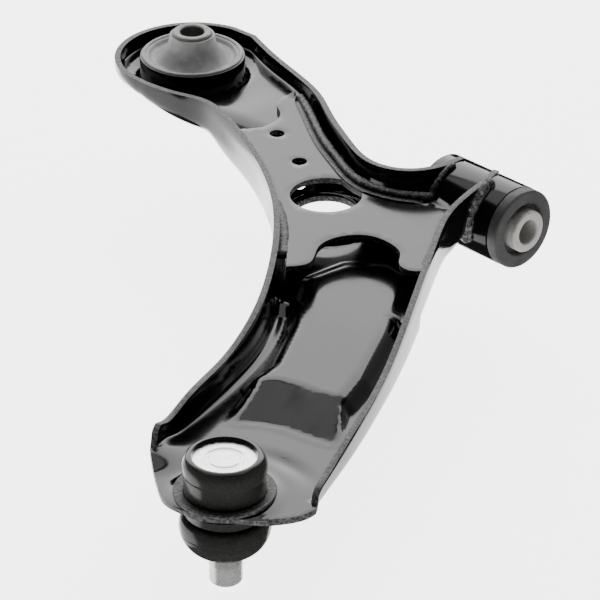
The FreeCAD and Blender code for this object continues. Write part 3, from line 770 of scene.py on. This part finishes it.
def with_slope(level, plan):
    """Adds the face that runs down from the plateau's end to the flat round the ball joint."""
    foot = np.array(SLOPE_FOOT, float)
    crest = np.array(PLATEAU_CREST, float)
    to_foot = distance_to(plan, foot, closed=False)
    to_crest = distance_to(plan, crest, closed=False)
    face = np.concatenate([crest, foot[::-1]])
    down = SLOPE_TOP + (FLAT - SLOPE_TOP) * to_crest / (to_crest + to_foot + 1e-6)
    beside = 1 - smooth_step(distance_to(plan, face) / SLOPE_SIDE)
    around = np.maximum(level, FLAT + (down - FLAT) * beside)
    return np.where(inside_loop(plan, face), down, around)


def joint_groove(plan):
    """The crescent pressed into the flat beside the ball joint: steep on its far side only."""
    away = plan - np.array(BALL_JOINT)
    radius = np.linalg.norm(away, axis=1)
    turn = (np.degrees(np.arctan2(away[:, 1], away[:, 0])) + 360) % 360
    share = 1 - smooth_step(np.abs(turn - GROOVE_MIDDLE) / GROOVE_HALF_LENGTH)
    outer = smooth_step((GROOVE_OUTSIDE - radius) / GROOVE_OUTER_FLANK)
    inner = 1 - smooth_step((GROOVE_BOTTOM - radius) / GROOVE_INNER_FLANK)
    return -GROOVE_DEPTH * share * outer * inner


def foot_of_the_wall(plan):
    """The flat runs up to the end of the left wall."""
    away = np.linalg.norm(plan - np.array(WALL_END), axis=1)
    return FOOT_RISE * (1 - smooth_step(away / FOOT_REACH))


def pan_bend(plan):
    """Outer radius of the bend between floor and wall."""
    along, radius = np.array(PAN_BEND).T
    return np.interp(along_run(plan), along, radius)


def in_the_tube(vertices):
    """Vertices that are out of sight inside the front bush tube."""
    radius = np.hypot(vertices[:, 0], vertices[:, 2])
    low, high = TUBE_ENDS
    return (radius < TUBE_INSIDE) & (vertices[:, 1] > low) & (vertices[:, 1] < high)


def build_pan():
    """The pressed sheet and its two drawn collars."""
    turn = np.linspace(0, -math.pi, 46)[1:-1] + math.atan2(CUP_START[1], CUP_START[0])
    cup = np.column_stack([REAR_BUSH[0] + CUP_RADIUS * np.cos(turn),
                           REAR_BUSH[1] + CUP_RADIUS * np.sin(turn), np.full(len(turn), CUP_RIM)])
    left = smooth_run(PAN_LEFT)
    rear = smooth_run(PAN_REAR)
    sides = [np.concatenate([left, cup, rear]), smooth_run(PAN_FRONT), flat_edge(PAN_TIP)]
    holes = PAN_HOLES + [(centre, SMALL_HOLE_RADIUS) for centre in SMALL_HOLES]
    pan = pressing("pan_sheet", sides, pan_floor, pan_bend, holes, SHEET, hidden=in_the_tube)
    dressed(pan, "arm", "black_paint", "arm_pan")
    cup_collar = lathe("cup_collar", [
        (27.05, -3.4, 0.3), (29.9, -3.4, 0.3), (29.9, -0.6, 0.5), (27.05, -1.2, 0.5),
    ], REAR_BUSH, PAINT)
    dressed(cup_collar, "arm", "black_paint", "arm_pan")
    joint_collar = lathe("joint_collar", [
        (17.85, -16.0, 0.3), (19.8, -15.6, 0.3), (20.2, -12.4, 0.4), (22.4, -11.4, 0.4), (22.4, -10.1, 0.4),
        (21.6, -9.7, 0.4), (17.9, -10.4, 0.2),
    ], BALL_JOINT, PAINT)
    joint_collar.data.materials.append(SHEARED)
    for face in joint_collar.data.polygons:
        if face.center.z > COLLAR_SHEARED * MM and face.normal.z > COLLAR_FACING:
            face.material_index = 1
    dressed(joint_collar, "arm", "black_paint", "arm_pan")


# ---------------------------------------------------------------------------------------------
# The plate
# ---------------------------------------------------------------------------------------------
PLATE_UNDERSIDE = 5.2
PLATE_CURB = 8.8
PLATE_BEND = 2.8
PLATE_BIG_HOLE = 17.4
PLATE_REAR = [(-12.5, -140), (2, -117), (17, -93), (29, -68), (35.5, -50), (35, -36), (27, -18),
              (19, -10)]
PLATE_FRONT = [(19, 2), (30, 5), (46, 13), (63, 24.5), (74, 32)]
PLATE_MOUTH = [(74, 32), (77.5, 28.5), (77.5, 21), (69, 13), (65.5, 3), (67, -9), (75, -17),
               (84, -19.5), (92, -18), (107, -10), (116, -15)]
PLATE_LEFT = [(116, -15), (96, -35), (76, -61), (61, -86), (46, -115), (37, -133)]
PLATE_TONGUE = [(37, -133), (31, -130), (25, -126), (18, -125.5), (11.5, -127.5), (7, -131.5), (3, -138),
                (-3.5, -141.8), (-9, -142.5)]


def build_plate():
    """The flat plate, turned up along its rear edge but not at that edge's ends."""
    rear = smooth_run(PLATE_REAR)
    rise = smooth_step(np.minimum(np.arange(len(rear)), np.arange(len(rear))[::-1]) / 4)
    curb = np.column_stack([rear, PLATE_UNDERSIDE + (PLATE_CURB - PLATE_UNDERSIDE) * rise])
    sides = [curb] + [flat_edge(run)[:-1] for run in (PLATE_FRONT, PLATE_MOUTH, PLATE_LEFT)]
    sides.append(flat_edge(PLATE_TONGUE, 1.5))
    holes = [(BIG_HOLE, PLATE_BIG_HOLE)] + [(centre, SMALL_HOLE_RADIUS) for centre in SMALL_HOLES]
    plate = pressing("plate_sheet", sides, lambda plan: np.full(len(plan), PLATE_UNDERSIDE),
                     lambda plan: np.full(len(plan), PLATE_BEND), holes, PLATE_SHEET, grid=4.0)
    dressed(plate, "arm", "black_paint", "reinforcement_plate")


# ---------------------------------------------------------------------------------------------
# Weld beads
# ---------------------------------------------------------------------------------------------
WELD_LEFT = [(74, -66, 7.4), (86, -49, 7.2), (98, -35.5, 7), (109, -24.5, 6.6)]
WELD_REAR = [(-12.2, -137, 8.2), (-1, -118.5, 9.2), (14, -94.5, 9.6), (26, -70, 9.8), (33.2, -50.5, 9.8),
             (33, -36.5, 9.8), (25.5, -20, 9.8), (20, -13, 9.8)]
WELD_FRONT = [(56, 20.6, 7), (64, 25.3, 6.8), (70, 29, 6.5)]
TUBE_RADIUS = 19.75
# Distance between the rings of a straight bead, its ripples' pitch and its height against its width.
BEAD_STEP = 0.7
RIPPLE = 2.2
BEAD_FLATNESS = 0.86
BEAD_SIDES = 14
# The arc of an ear's bead round the tube, in degrees, and how far its middle stands off.
EAR_ARC_START = -18
EAR_ARC_END = 85
EAR_ARC_STEP = 3
EAR_BEAD_LIFT = 0.6


def swelling(from_end, width):
    """A bead's thickness, as a share, at a distance from its rounded end."""
    end = from_end / (width / 2)
    return math.sqrt(max(1 - (1 - min(end, 1)) ** 2, 0.02))


def bead(name, path, width, nodes):
    """A bead of weld metal: a swollen tube with the ripples that each pulse of the torch leaves."""
    run = smooth_run(path, BEAD_STEP)
    count = len(run)
    vertices = []
    for index, centre in enumerate(run):
        along = Vector(run[min(index + 1, count - 1)] - run[max(index - 1, 0)]).normalized()
        side = along.cross(Vector((0, 0, 1))).normalized()
        up = side.cross(along)
        swell = swelling(min(index, count - 1 - index) * BEAD_STEP, width)
        wobble = noise.noise(Vector(centre) * 0.11) * 0.16
        wave = abs(math.sin(index * BEAD_STEP * math.pi / RIPPLE)) * 0.09
        for step in range(BEAD_SIDES):
            angle = 2 * math.pi * step / BEAD_SIDES
            radius = width / 2 * swell * (0.95 + wobble + wave)
            offset = side * math.cos(angle) * radius + up * math.sin(angle) * radius * BEAD_FLATNESS
            vertices.append(Vector(centre) + offset)
    obj = mesh(name, vertices, tube_faces(count, BEAD_SIDES), [WELD], smooth_angle=60)
    return dressed(obj, "arm", "black_paint", *nodes)


def build_welds():
    """The five beads: three round the plate and two on the tube."""
    bead("weld_left", WELD_LEFT, 5.6, ["plate_weld_left"])
    bead("weld_rear", WELD_REAR, 4.2, ["plate_weld_rear"])
    bead("weld_front", WELD_FRONT, 4.0, ["plate_weld_front"])
    ear_bead("weld_ear_rear", -15.6, 3.6, "tube_weld_rear")
    ear_bead("weld_ear_front", 9.5, 6.8, "tube_weld_front")


def ear_bead(name, y, width, node):
    """A bead that follows the tube's round, laid between the tube and an ear."""
    arc = [math.radians(turn) for turn in range(EAR_ARC_START, EAR_ARC_END, EAR_ARC_STEP)]
    reach = TUBE_RADIUS + EAR_BEAD_LIFT
    vertices = []
    for index, turn in enumerate(arc):
        out = Vector((math.cos(turn), 0, math.sin(turn)))
        centre = out * reach + Vector((0, y, 0))
        from_end = min(index, len(arc) - 1 - index) * math.radians(EAR_ARC_STEP) * reach
        swell = swelling(from_end, width)
        for step in range(BEAD_SIDES):
            angle = 2 * math.pi * step / BEAD_SIDES
            lump = 0.9 + 0.22 * noise.noise(centre * 0.35 + out * step * 0.1)
            spread = out * math.cos(angle) + Vector((0, 1, 0)) * math.sin(angle)
            vertices.append(centre + spread * (width / 2 * swell * lump))
    obj = mesh(name, vertices, tube_faces(len(arc), BEAD_SIDES), [WELD], smooth_angle=60)
    dressed(obj, "arm", "black_paint", node)


def tube_faces(count, around):
    """Faces of a closed tube of count rings."""
    faces = [tuple(range(around)), tuple(range((count - 1) * around, count * around))]
    for index in range(count - 1):
        for step in range(around):
            after = (step + 1) % around
            faces.append((index * around + step, index * around + after,
                          (index + 1) * around + after, (index + 1) * around + step))
    return faces


def finish_hidden_parts():
    """Node materials for the parts that stay as they are."""
    finishes = {
        "front_bush_outer_sleeve": plain_hidden("inner_steel", 0.4, 1.0),
        "ball_seat": plain_hidden("seat_plastic", 0.7, 0.0),
        "boot_clamp_ring": plain_hidden("ring_steel", 0.5, 1.0),
    }
    finishes["boot_lip_ring"] = finishes["boot_clamp_ring"]
    for node, material in finishes.items():
        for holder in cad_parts[node].material_slots:
            holder.material = material


# ---------------------------------------------------------------------------------------------
# Studio
# ---------------------------------------------------------------------------------------------
CAMERA_PLACE = Vector((1187.3, 1090.2, 860.8)) * MM
CAMERA_VIEW = Vector((-0.608, -0.622, -0.492))
CAMERA_LENS = 228.0
FLOOR_REACH = 6.0
FLOOR_GAP = 0.002
FLOOR_GLOW = 4.0
WORLD_GLOW = 0.02
ARM_MIDDLE = Vector((0.11, -0.04, 0))
BACKWARD = Vector((-0.70, -0.715, 0)).normalized()
# Panels of light: name, place from the arm's middle, width and height in metres, and watts.
PANELS = [
    ("back_panel", BACKWARD * 2.4 + Vector((0, 0, 1.5)), 5.0, 2.5, 160),
    ("top_panel", BACKWARD * 0.5 + Vector((0, 0, 2.8)), 4.0, 2.2, 38),
    ("low_panel", Vector((-0.64, -0.56, -0.5)) * 2.6, 4.4, 1.5, 70),
    ("low_left_panel", Vector((0.3, -0.85, -0.42)) * 2.6, 4.6, 2.2, 75),
]


def build_camera():
    """The camera that the photo was matched with."""
    data = bpy.data.cameras.new("camera")
    data.lens = CAMERA_LENS
    data.sensor_width = 36.0
    data.clip_end = 100.0
    camera = bpy.data.objects.new("camera", data)
    camera.location = CAMERA_PLACE
    camera.rotation_euler = CAMERA_VIEW.to_track_quat("-Z", "Y").to_euler()
    bpy.context.scene.collection.objects.link(camera)
    bpy.context.scene.camera = camera


def area_light(name, place, target, width, height, power):
    """A rectangular lamp that faces a target."""
    data = bpy.data.lights.new(name, "AREA")
    data.shape = "RECTANGLE"
    data.size = width
    data.size_y = height
    data.energy = power
    light = bpy.data.objects.new(name, data)
    light.location = place
    light.rotation_euler = (target - place).to_track_quat("-Z", "Y").to_euler()
    bpy.context.scene.collection.objects.link(light)


def build_floor():
    """A pale floor that glows, out of sight of reflections and shadows."""
    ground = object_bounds()[0][2] - FLOOR_GAP
    corners = [(-1, -1), (1, -1), (1, 1), (-1, 1)]
    data = bpy.data.meshes.new("floor")
    data.from_pydata([(x * FLOOR_REACH, y * FLOOR_REACH, ground) for x, y in corners], [], [(0, 1, 2, 3)])
    floor = bpy.data.objects.new("floor", data)
    bpy.context.scene.collection.objects.link(floor)
    s = Shading("floor_white", ior=1.2)
    colour = s.ramp(s.noise(400), [(0.3, grey(0.9)), (0.7, grey(0.93))])
    data.materials.append(s.finish(colour, s.span(s.noise(90), 0.8, 0.9)))
    s.shader.inputs["Emission Color"].default_value = (1, 1, 1, 1)
    s.shader.inputs["Emission Strength"].default_value = FLOOR_GLOW
    floor.visible_glossy = False
    floor.visible_shadow = False


def build_world():
    """A faint even light from all round."""
    world = bpy.data.worlds.new("studio")
    world.use_nodes = True
    background = world.node_tree.nodes["Background"]
    background.inputs["Color"].default_value = (1, 1, 1, 1)
    background.inputs["Strength"].default_value = WORLD_GLOW
    bpy.context.scene.world = world


def build_studio():
    """Floor, world and panels: a large one behind, one above and softer ones low down."""
    build_floor()
    build_world()
    for name, place, width, height, power in PANELS:
        area_light(name, ARM_MIDDLE + place, ARM_MIDDLE, width, height, power)


build_front_bush()
build_rear_bush()
build_ball_joint()
build_dust_boot()
build_pan()
build_plate()
build_welds()
finish_hidden_parts()
build_studio()
build_camera()
